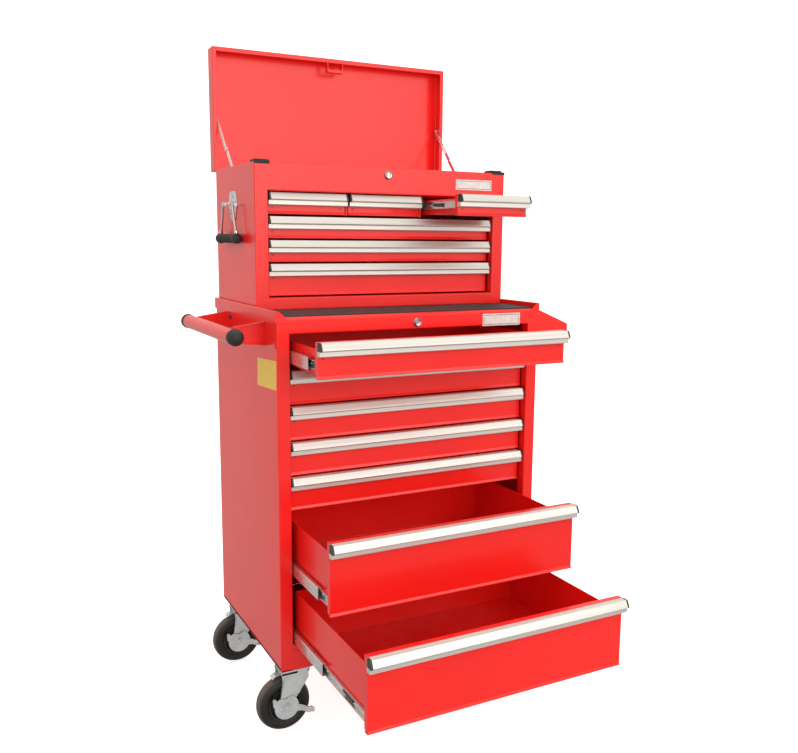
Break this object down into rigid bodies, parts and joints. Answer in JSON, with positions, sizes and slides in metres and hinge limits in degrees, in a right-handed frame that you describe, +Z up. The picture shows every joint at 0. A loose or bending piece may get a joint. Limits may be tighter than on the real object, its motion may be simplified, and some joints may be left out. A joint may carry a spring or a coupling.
{
  "type": "rolling tool chest",
  "caption": "Lidded top chest of drawers standing on a roller cabinet of drawers, with a push handle, a hanging side tray, bail handles, locks and braked swivel casters.",
  "frame": {"origin": "middle of the whole object's box, on the floor under the wheels", "axes": "+Z up, the longest way of the object; -Y to the front, where the drawers open; +X to the right seen from the front"},
  "size_m": [0.8599, 0.9064, 1.5895],
  "materials": {
    "red_paint": "gloss",
    "aluminium_grip": "satin",
    "zinc": "bright zinc plate",
    "rubber": "matt",
    "wheel": "matt tread"
  },
  "bodies": {
    "cabinet": {"cabinet_frame": "red_paint", "cabinet_worktop": "red_paint", "chest_body": "red_paint", "chest_fittings": "zinc", "rubber_parts": "rubber", "push_handle": "red_paint", "side_tray": "red_paint", "slide_outer_members": "zinc", "caster_mounts": "zinc"},
    "cabinet_drawer_1": {"cabinet_drawer_1_box": "red_paint", "cabinet_drawer_1_handle": "aluminium_grip"},
    "cabinet_drawer_1_members": {"cabinet_drawer_1_slides": "zinc"},
    "cabinet_drawer_2": {"cabinet_drawer_2_box": "red_paint", "cabinet_drawer_2_handle": "aluminium_grip"},
    "cabinet_drawer_2_members": {"cabinet_drawer_2_slides": "zinc"},
    "cabinet_drawer_3": {"cabinet_drawer_3_box": "red_paint", "cabinet_drawer_3_handle": "aluminium_grip"},
    "cabinet_drawer_3_members": {"cabinet_drawer_3_slides": "zinc"},
    "cabinet_drawer_4": {"cabinet_drawer_4_box": "red_paint", "cabinet_drawer_4_handle": "aluminium_grip"},
    "cabinet_drawer_4_members": {"cabinet_drawer_4_slides": "zinc"},
    "cabinet_drawer_5": {"cabinet_drawer_5_box": "red_paint", "cabinet_drawer_5_handle": "aluminium_grip"},
    "cabinet_drawer_5_members": {"cabinet_drawer_5_slides": "zinc"},
    "cabinet_drawer_6": {"cabinet_drawer_6_box": "red_paint", "cabinet_drawer_6_handle": "aluminium_grip"},
    "cabinet_drawer_6_members": {"cabinet_drawer_6_slides": "zinc"},
    "cabinet_drawer_7": {"cabinet_drawer_7_box": "red_paint", "cabinet_drawer_7_handle": "aluminium_grip"},
    "cabinet_drawer_7_members": {"cabinet_drawer_7_slides": "zinc"},
    "chest_small_drawer_1": {"chest_small_drawer_1_box": "red_paint", "chest_small_drawer_1_handle": "aluminium_grip"},
    "chest_small_drawer_2": {"chest_small_drawer_2_box": "red_paint", "chest_small_drawer_2_handle": "aluminium_grip"},
    "chest_small_drawer_3": {"chest_small_drawer_3_box": "red_paint", "chest_small_drawer_3_handle": "aluminium_grip"},
    "chest_drawer_1": {"chest_drawer_1_box": "red_paint", "chest_drawer_1_handle": "aluminium_grip"},
    "chest_drawer_1_members": {"chest_drawer_1_slides": "zinc"},
    "chest_drawer_2": {"chest_drawer_2_box": "red_paint", "chest_drawer_2_handle": "aluminium_grip"},
    "chest_drawer_2_members": {"chest_drawer_2_slides": "zinc"},
    "chest_drawer_3": {"chest_drawer_3_box": "red_paint", "chest_drawer_3_handle": "aluminium_grip"},
    "chest_drawer_3_members": {"chest_drawer_3_slides": "zinc"},
    "lid": {"lid": "red_paint"},
    "stay_lower": {"lid_stay_lower_bars": "zinc"},
    "stay_upper": {"lid_stay_upper_bars": "zinc"},
    "bail_left": {"bail_handle_left": "rubber"},
    "bail_right": {"bail_handle_right": "rubber"},
    "lock_chest": {"lock_plug_chest": "zinc"},
    "lock_cabinet": {"lock_plug_cabinet": "zinc"},
    "fork_front": {"swivel_fork_front": "zinc"},
    "wheel_front_left": {"wheel_front_left": "wheel"},
    "wheel_front_right": {"wheel_front_right": "wheel"},
    "brake_front": {"brake_pedal_front": "zinc"},
    "fork_rear": {"swivel_fork_rear": "zinc"},
    "wheel_rear_left": {"wheel_rear_left": "wheel"},
    "wheel_rear_right": {"wheel_rear_right": "wheel"},
    "brake_rear": {"brake_pedal_rear": "zinc"}
  },
  "joints": [
    {"name": "cabinet_drawer_1_slide", "type": "slide", "parent": "cabinet", "child": "cabinet_drawer_1", "axis": [0, -1, 0], "range_m": [-0.168, 0.232]},
    {"name": "cabinet_drawer_1_members_slide", "type": "slide", "parent": "cabinet", "child": "cabinet_drawer_1_members", "axis": [0, -1, 0], "range_m": [-0.1344, 0.1856]},
    {"name": "cabinet_drawer_2_slide", "type": "slide", "parent": "cabinet", "child": "cabinet_drawer_2", "axis": [0, -1, 0], "range_m": [0, 0.4]},
    {"name": "cabinet_drawer_2_members_slide", "type": "slide", "parent": "cabinet", "child": "cabinet_drawer_2_members", "axis": [0, -1, 0], "range_m": [0, 0.2]},
    {"name": "cabinet_drawer_3_slide", "type": "slide", "parent": "cabinet", "child": "cabinet_drawer_3", "axis": [0, -1, 0], "range_m": [0, 0.4]},
    {"name": "cabinet_drawer_3_members_slide", "type": "slide", "parent": "cabinet", "child": "cabinet_drawer_3_members", "axis": [0, -1, 0], "range_m": [0, 0.2]},
    {"name": "cabinet_drawer_4_slide", "type": "slide", "parent": "cabinet", "child": "cabinet_drawer_4", "axis": [0, -1, 0], "range_m": [0, 0.4]},
    {"name": "cabinet_drawer_4_members_slide", "type": "slide", "parent": "cabinet", "child": "cabinet_drawer_4_members", "axis": [0, -1, 0], "range_m": [0, 0.2]},
    {"name": "cabinet_drawer_5_slide", "type": "slide", "parent": "cabinet", "child": "cabinet_drawer_5", "axis": [0, -1, 0], "range_m": [0, 0.4]},
    {"name": "cabinet_drawer_5_members_slide", "type": "slide", "parent": "cabinet", "child": "cabinet_drawer_5_members", "axis": [0, -1, 0], "range_m": [0, 0.2]},
    {"name": "cabinet_drawer_6_slide", "type": "slide", "parent": "cabinet", "child": "cabinet_drawer_6", "axis": [0, -1, 0], "range_m": [-0.224, 0.176]},
    {"name": "cabinet_drawer_6_members_slide", "type": "slide", "parent": "cabinet", "child": "cabinet_drawer_6_members", "axis": [0, -1, 0], "range_m": [-0.1792, 0.1408]},
    {"name": "cabinet_drawer_7_slide", "type": "slide", "parent": "cabinet", "child": "cabinet_drawer_7", "axis": [0, -1, 0], "range_m": [-0.4, 0]},
    {"name": "cabinet_drawer_7_members_slide", "type": "slide", "parent": "cabinet", "child": "cabinet_drawer_7_members", "axis": [0, -1, 0], "range_m": [-0.2, 0]},
    {"name": "chest_small_drawer_1_slide", "type": "slide", "parent": "cabinet", "child": "chest_small_drawer_1", "axis": [0, -1, 0], "range_m": [0, 0.262]},
    {"name": "chest_small_drawer_2_slide", "type": "slide", "parent": "cabinet", "child": "chest_small_drawer_2", "axis": [0, -1, 0], "range_m": [0, 0.262]},
    {"name": "chest_small_drawer_3_slide", "type": "slide", "parent": "cabinet", "child": "chest_small_drawer_3", "axis": [0, -1, 0], "range_m": [-0.171, 0.091]},
    {"name": "chest_drawer_1_slide", "type": "slide", "parent": "cabinet", "child": "chest_drawer_1", "axis": [0, -1, 0], "range_m": [0, 0.262]},
    {"name": "chest_drawer_1_members_slide", "type": "slide", "parent": "cabinet", "child": "chest_drawer_1_members", "axis": [0, -1, 0], "range_m": [0, 0.131]},
    {"name": "chest_drawer_2_slide", "type": "slide", "parent": "cabinet", "child": "chest_drawer_2", "axis": [0, -1, 0], "range_m": [0, 0.262]},
    {"name": "chest_drawer_2_members_slide", "type": "slide", "parent": "cabinet", "child": "chest_drawer_2_members", "axis": [0, -1, 0], "range_m": [0, 0.131]},
    {"name": "chest_drawer_3_slide", "type": "slide", "parent": "cabinet", "child": "chest_drawer_3", "axis": [0, -1, 0], "range_m": [0, 0.262]},
    {"name": "chest_drawer_3_members_slide", "type": "slide", "parent": "cabinet", "child": "chest_drawer_3_members", "axis": [0, -1, 0], "range_m": [0, 0.131]},
    {"name": "lid_hinge", "type": "hinge", "parent": "cabinet", "child": "lid", "pos_m": [0.003, 0.40825, 1.287], "axis": [1, 0, 0], "range_deg": [0, 88.5]},
    {"name": "stay_lower_hinge", "type": "hinge", "parent": "cabinet", "child": "stay_lower", "pos_m": [0.003, 0.27225, 1.252], "axis": [1, 0, 0], "range_deg": [-28.41, 0]},
    {"name": "stay_upper_hinge", "type": "hinge", "parent": "lid", "child": "stay_upper", "pos_m": [0.003, 0.43475, 1.427], "axis": [1, 0, 0], "range_deg": [0, 31.4]},
    {"name": "bail_left_hinge", "type": "hinge", "parent": "cabinet", "child": "bail_left", "pos_m": [-0.3395, 0.25875, 1.203], "axis": [0, 1, 0], "range_deg": [0, 100]},
    {"name": "bail_right_hinge", "type": "hinge", "parent": "cabinet", "child": "bail_right", "pos_m": [0.3455, 0.25875, 1.203], "axis": [0, -1, 0], "range_deg": [0, 100]},
    {"name": "lock_chest_turn", "type": "hinge", "parent": "cabinet", "child": "lock_chest", "pos_m": [0.003, 0.09925, 1.273], "axis": [0, 1, 0], "range_deg": [0, 90]},
    {"name": "lock_cabinet_turn", "type": "hinge", "parent": "cabinet", "child": "lock_cabinet", "pos_m": [0.003, -0.05325, 0.9387], "axis": [0, 1, 0], "range_deg": [0, 90]},
    {"name": "swivel_front", "type": "hinge", "parent": "cabinet", "child": "fork_front", "pos_m": [-0.275, 0.00275, 0.15], "axis": [0, 0, 1], "continuous": true},
    {"name": "wheel_front_left_spin", "type": "hinge", "parent": "fork_front", "child": "wheel_front_left", "pos_m": [-0.31, 0.00275, 0.0635], "axis": [0, 1, 0], "continuous": true},
    {"name": "wheel_front_right_spin", "type": "hinge", "parent": "cabinet", "child": "wheel_front_right", "pos_m": [0.281, 0.00275, 0.0635], "axis": [0, 1, 0], "continuous": true},
    {"name": "brake_front_press", "type": "hinge", "parent": "fork_front", "child": "brake_front", "pos_m": [-0.31, 0.00275, 0.0635], "axis": [0, 1, 0], "range_deg": [0, 18]},
    {"name": "swivel_rear", "type": "hinge", "parent": "cabinet", "child": "fork_rear", "pos_m": [-0.275, 0.37075, 0.15], "axis": [0, 0, 1], "continuous": true},
    {"name": "wheel_rear_left_spin", "type": "hinge", "parent": "fork_rear", "child": "wheel_rear_left", "pos_m": [-0.31, 0.37075, 0.0635], "axis": [0, 1, 0], "continuous": true},
    {"name": "wheel_rear_right_spin", "type": "hinge", "parent": "cabinet", "child": "wheel_rear_right", "pos_m": [0.281, 0.37075, 0.0635], "axis": [0, 1, 0], "continuous": true},
    {"name": "brake_rear_press", "type": "hinge", "parent": "fork_rear", "child": "brake_rear", "pos_m": [-0.31, 0.37075, 0.0635], "axis": [0, 1, 0], "range_deg": [0, 18]}
  ],
  "couplings": [
    {"joint": "cabinet_drawer_1_members_slide", "follows": "cabinet_drawer_1_slide", "ratio": 0.8},
    {"joint": "cabinet_drawer_2_members_slide", "follows": "cabinet_drawer_2_slide", "ratio": 0.5},
    {"joint": "cabinet_drawer_3_members_slide", "follows": "cabinet_drawer_3_slide", "ratio": 0.5},
    {"joint": "cabinet_drawer_4_members_slide", "follows": "cabinet_drawer_4_slide", "ratio": 0.5},
    {"joint": "cabinet_drawer_5_members_slide", "follows": "cabinet_drawer_5_slide", "ratio": 0.5},
    {"joint": "cabinet_drawer_6_members_slide", "follows": "cabinet_drawer_6_slide", "ratio": 0.8},
    {"joint": "cabinet_drawer_7_members_slide", "follows": "cabinet_drawer_7_slide", "ratio": 0.5},
    {"joint": "chest_drawer_1_members_slide", "follows": "chest_drawer_1_slide", "ratio": 0.5},
    {"joint": "chest_drawer_2_members_slide", "follows": "chest_drawer_2_slide", "ratio": 0.5},
    {"joint": "chest_drawer_3_members_slide", "follows": "chest_drawer_3_slide", "ratio": 0.5},
    {"joint": "stay_lower_hinge", "follows": "lid_hinge", "ratio": -0.321},
    {"joint": "stay_upper_hinge", "follows": "lid_hinge", "ratio": 0.3547}
  ]
}
